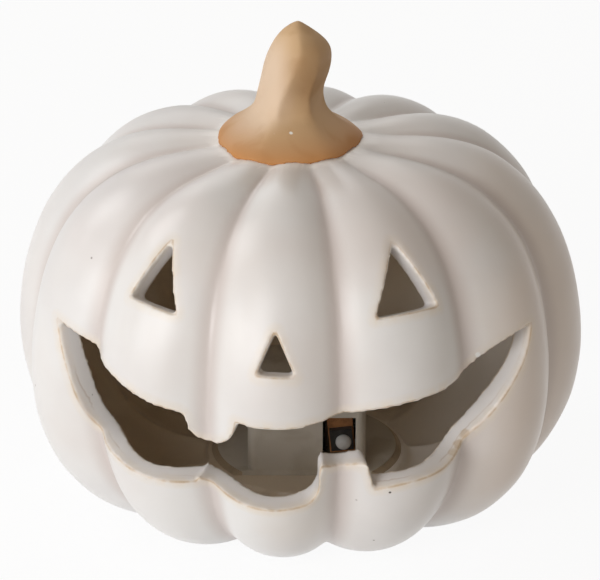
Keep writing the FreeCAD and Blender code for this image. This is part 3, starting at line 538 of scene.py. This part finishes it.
def evenOut(piece, voxel, smoothing):
    # An even mesh with softened edges.
    remesh = piece.modifiers.new("even", "REMESH")
    remesh.mode = "VOXEL"
    remesh.voxel_size = voxel
    soften = piece.modifiers.new("soften", "SMOOTH")
    soften.factor = 0.5
    soften.iterations = smoothing


def points(mesh):
    values = np.empty(len(mesh.vertices) * 3)
    mesh.vertices.foreach_get("co", values)
    return values.reshape(-1, 3)


def setPoints(mesh, places):
    mesh.vertices.foreach_set("co", places.ravel())
    mesh.update()


def setMask(mesh, name, values):
    mesh.attributes.new(name, "FLOAT", "POINT").data.foreach_set("value", values.astype(np.float32))


def smoothStep(value, start, end):
    share = np.clip((value - start) / (end - start), 0, 1)
    return share * share * (3 - 2 * share)


shell = {
    # lengths are millimetres where mm isn't written beside them
    "voxel": 0.72 * mm,
    "smoothing": 5,
    "quickVoxel": 1.08 * mm,
    "quickSmoothing": 3,
    "triangles": 190000,
    "ribCentre": 57.4,
    "wall": 6.5,
    "grooveAngles": (14, 43, 74, 106, 136, 165),    # degrees round from the face, on both sides
    # elevation from the rib centre in degrees, reach of a rib's crest, depth of the grooves, in millimetres
    "ribs": ((-75, 59.6, 1.0), (-61, 66.4, 2.5), (-48, 77.8, 4.0), (-38, 84.2, 5.5), (-27, 88.0, 7.0),
             (-12, 89.0, 7.6), (3, 87.4, 6.8), (18, 86.3, 5.4), (32, 83.4, 4.1), (46, 77.0, 3.5),
             (58, 68.5, 2.7), (67, 63.2, 1.0), (77, 59.8, 0.3)),
    "curveDegree": 9,           # of the smooth curves through those rows
    "valley": 0.07,             # share of half a rib over which the bottom of a groove is rounded
    "innerValley": 0.5,         # the same on the softer inside
    "waves": ((28, 0.35), (13, 0.175)),     # lengths and heights of the waves in the hand-finished surface
    "outerSkin": (3.9, 0.2),    # depths under the skin over which the changes to the outside set in
    "aboveFloor": (12, 20),     # heights between which the inside passes from the flat floor to the ribs
    "aboveFeet": (1.5, 6),      # heights between which the flat feet pass into the ribs
    "snapDepth": (1.6, 0.8),    # how near the true skin a place starts to be drawn to it, and is wholly
    "snapClear": (0.6, 2.0),    # the same for its distance from a cut, whose edges stay as they are
    "grooveWidth": (0.30, 0.02),            # shares of half a rib over which the glaze pools and shade is painted
    "grooveDepth": (1.0, 3.0),  # depths of groove over which the pooling and the painted shade grow
    "lining": (1.0, 0.4),       # distances before the inner skin over which the inside's glaze sets in
    "liningSooner": 3,          # how much sooner it sets in near the floor, which stays flat
    "footHeight": (0.7, 0.3),   # heights over which the bare clay of the feet sets in
    "collarWidth": (3.0, 1.6),  # distances from the stem over which the bead of glaze sets in
    "lowestCut": 12 * mm,       # the edges under this are the foot's
    "cutSpacing": 0.3 * mm,     # between the points along the edges of the cuts
    "wallFacing": 0.4,          # the most that a cut's wall faces away from the rib centre
    "skinFacing": 0.6,          # the least that the skin does
    "rimReach": 30,             # distances from a cut that are longer than this count as this
    "rimHeight": 0.5,           # the same for heights over the skin
    "lowestStem": 112 * mm,     # the stem under this is inside the crown
}


def makeShell():
    piece = copyOf("pumpkin_body", "pumpkinShell")
    evenOut(piece, shell["voxel"], shell["smoothing"])
    mesh = finalMesh(piece)
    triangles = sum(len(face.vertices) - 2 for face in mesh.polygons)
    if triangles > shell["triangles"]:
        thin = piece.modifiers.new("thin", "DECIMATE")
        thin.ratio = shell["triangles"] / triangles
        mesh = finalMesh(piece)
    shapeShell(mesh)
    mesh.shade_smooth()
    mesh.materials.append(glazeMaterial())
    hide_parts("pumpkin_body")
    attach(piece, "lantern")
    print("pumpkin shell:", len(mesh.polygons), "faces")


def cutLines():
    # Points along the sharp edges where the cuts leave the outer skin.
    form = weldedForm(cadNodes["pumpkin_body"].data)
    centre = Vector((0, 0, shell["ribCentre"] * mm))
    spots = []
    for edge in form.edges:
        ends = [vertex.co for vertex in edge.verts]
        outward = ((ends[0] + ends[1]) / 2 - centre).normalized()
        facing = sorted(face.normal.dot(outward) for face in edge.link_faces)
        if len(facing) != 2 or ends[0].z <= shell["lowestCut"]:
            continue
        if facing[0] < shell["wallFacing"] and facing[1] > shell["skinFacing"]:
            steps = math.ceil((ends[1] - ends[0]).length / shell["cutSpacing"])
            spots += [ends[0].lerp(ends[1], step / steps) for step in range(steps)]
    form.free()
    return spots


def nearest(places, spots):
    # Distance from each place to the nearest of the spots.
    tree = kdtree.KDTree(len(spots))
    for number, spot in enumerate(spots):
        tree.insert(spot, number)
    tree.balance()
    return np.array([tree.find(place)[2] for place in places])


def roundedShare(share, valley):
    rounded = np.sqrt(share ** 2 + valley ** 2) - valley
    return rounded / rounded.max()


def fading(distance, name):
    # 0 at the first distance of the named pair and 1 at the second, which is the nearer one.
    far, near = shell[name]
    return smoothStep(-distance, -far, -near)


def shapeShell(mesh):
    # Gives the outer skin its true ribs, with rounded valleys, and softens the ribs of the inner skin.
    place = points(mesh) / mm - (0, 0, shell["ribCentre"])
    fromCut = nearest(points(mesh), cutLines()) / mm
    height = place[:, 2] + shell["ribCentre"]
    reach = np.linalg.norm(place, axis=1)
    elevation = np.degrees(np.arcsin(place[:, 2] / reach))
    azimuth = np.degrees(np.arctan2(place[:, 0], -place[:, 1]))
    rows = np.array(shell["ribs"])
    slope = np.clip(elevation, rows[0, 0], rows[-1, 0])
    crest, depth = (np.polynomial.Chebyshev.fit(rows[:, 0], rows[:, column], shell["curveDegree"])(slope)
                    for column in (1, 2))
    grooves = np.array(sorted(sign * angle for sign in (-1, 1) for angle in shell["grooveAngles"]))
    wrapped = np.concatenate([grooves[-1:] - 360, grooves, grooves[:1] + 360])
    number = np.searchsorted(wrapped, azimuth).clip(1, len(wrapped) - 1)
    low, high = wrapped[number - 1], wrapped[number]
    share = np.minimum(azimuth - low, high - azimuth) / (high - low) * 2     # 0 in a groove, 1 on a crest
    plain = crest - depth * (1 - share) ** 2
    below = plain - reach
    outer, inner = (crest - depth * (1 - roundedShare(share, shell[valley])) ** 2
                    for valley in ("valley", "innerValley"))
    wave = sum(size * np.array([noise.noise(Vector(spot) / length) for spot in place])
               for length, size in shell["waves"])
    skin = fading(below, "outerSkin")
    level = smoothStep(height, *shell["aboveFeet"])
    snap = fading(np.abs(below), "snapDepth") * smoothStep(fromCut, *shell["snapClear"])
    aboveFloor = smoothStep(height, *shell["aboveFloor"])
    moved = (outer - plain + wave) * skin + (inner - plain) * (1 - skin) * aboveFloor + below * snap * skin
    moved *= level * (np.abs(elevation) < rows[-1, 0])
    place *= (1 + moved / reach)[:, None]
    setPoints(mesh, (place + (0, 0, shell["ribCentre"])) * mm)

    beside = np.sqrt(np.clip(fromCut ** 2 - below ** 2, 0, shell["rimReach"] ** 2))
    setMask(mesh, "rim", beside - np.clip(below, -shell["rimHeight"], None))
    # where the glaze pools in the grooves and their shade is painted
    setMask(mesh, "groove", fading(share, "grooveWidth") * smoothStep(depth, *shell["grooveDepth"]) * skin)
    beforeLining = shell["wall"] - below - shell["liningSooner"] * (1 - aboveFloor)
    setMask(mesh, "inside", fading(beforeLining, "lining"))
    setMask(mesh, "foot", fading(height, "footHeight"))
    stemPoints = points(bpy.data.objects["pumpkinStem"].data)
    fromStem = nearest(points(mesh), stemPoints[stemPoints[:, 2] > shell["lowestStem"]]) / mm
    setMask(mesh, "collar", fading(fromStem, "collarWidth"))


stem = {
    "voxel": 0.5 * mm,
    "smoothing": 3,
    "toast": (124, 113),        # heights between which the flashed orange grows, in millimetres
}


def makeStem():
    piece = copyOf("stem", "pumpkinStem")
    evenOut(piece, stem["voxel"], stem["smoothing"])
    mesh = finalMesh(piece)
    mesh.shade_smooth()
    top, bottom = stem["toast"]
    setMask(mesh, "toast", smoothStep(-points(mesh)[:, 2] / mm, -top, -bottom))
    mesh.materials.append(biscuitMaterial())
    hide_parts("stem")
    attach(piece, "lantern")
    print("stem:", len(mesh.polygons), "faces")


mouldings = {
    "flat": 0.5,                # degrees: faces that meet at less are one
    "edge": 50,                 # degrees: edges that are sharper than this are rounded
    "crease": 30,               # degrees: the shading is sharp where faces meet at more
    "segments": 2,
    # node: (name of the piece, the body it rides on, width of the rounded edges)
    "pieces": {
        "light_case": ("lightCase", "lantern", 0.45 * mm),
        "base_plate": ("basePlate", "lantern", 0.4 * mm),
        "battery_cap": ("batteryCap", "cap", 0.4 * mm),
    },
}


def softenMouldings():
    # Moulded plastic has no sharp edges.
    for node, (name, body, width) in mouldings["pieces"].items():
        piece = copyOf(node, name)
        form = weldedForm(piece.data)
        bmesh.ops.dissolve_limit(form, angle_limit=math.radians(mouldings["flat"]), verts=form.verts,
                                 edges=form.edges)
        form.to_mesh(piece.data)
        form.free()
        bevel = piece.modifiers.new("edges", "BEVEL")
        bevel.width = width
        bevel.segments = mouldings["segments"]
        bevel.limit_method = "ANGLE"
        bevel.angle_limit = math.radians(mouldings["edge"])
        mesh = finalMesh(piece)
        mesh.shade_smooth()
        mesh.set_sharp_from_angle(angle=math.radians(mouldings["crease"]))
        mesh.materials.append(bpy.data.materials[cadFinishes[node]])
        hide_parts(node)
        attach(piece, body)
    print("mouldings:", len(mouldings["pieces"]))


cadFinishes = {
    "light_case": "casePlastic", "base_plate": "casePlastic", "glue_bead": "glueAndGapShadow",
    "battery_cap": "casePlastic", "coin_cell_lower": "cellSteel", "coin_cell_upper": "cellSteel",
    "negative_contact": "springPlate", "positive_contact": "springPlate", "switch_frame": "switchSteel",
    "switch_screws": "screwSteel", "switch_base": "phenolic", "switch_terminals": "tinnedBrass",
    "switch_knob": "blackPlastic", "case_screws": "screwSteel", "circuit_board": "phenolic",
    "led_holder": "blackPlastic", "led_leads": "tinnedSteel", "timer_chip": "blackResin",
    "resistor": "resistorPaint", "black_wire": "blackInsulation", "red_wire": "redInsulation",
    "switch_wire": "redInsulation",
}


def finishCadNodes():
    made = {}
    for node, finish in cadFinishes.items():
        if finish not in made:
            made[finish] = plainMaterial(finish) if finish in plainFinishes else metalMaterial(finish)
        for holder in cadNodes[node].material_slots:
            holder.material = made[finish]
    for holder in cadNodes["led_lens"].material_slots:
        holder.material = lensMaterial()
    print("finishes:", len(made) + 1)


for makeGroup in (makePatches, makeSpecks, makeRaggedSpot, makeGrain, makeBrushed):
    makeGroup()
print("node groups:", len(bpy.data.node_groups))
addCamera()
addStudio()
print("lamps:", len(studio["lamps"]))
makeStem()          # before the shell, whose collar of glaze is measured from it
makeShell()
finishCadNodes()
softenMouldings()
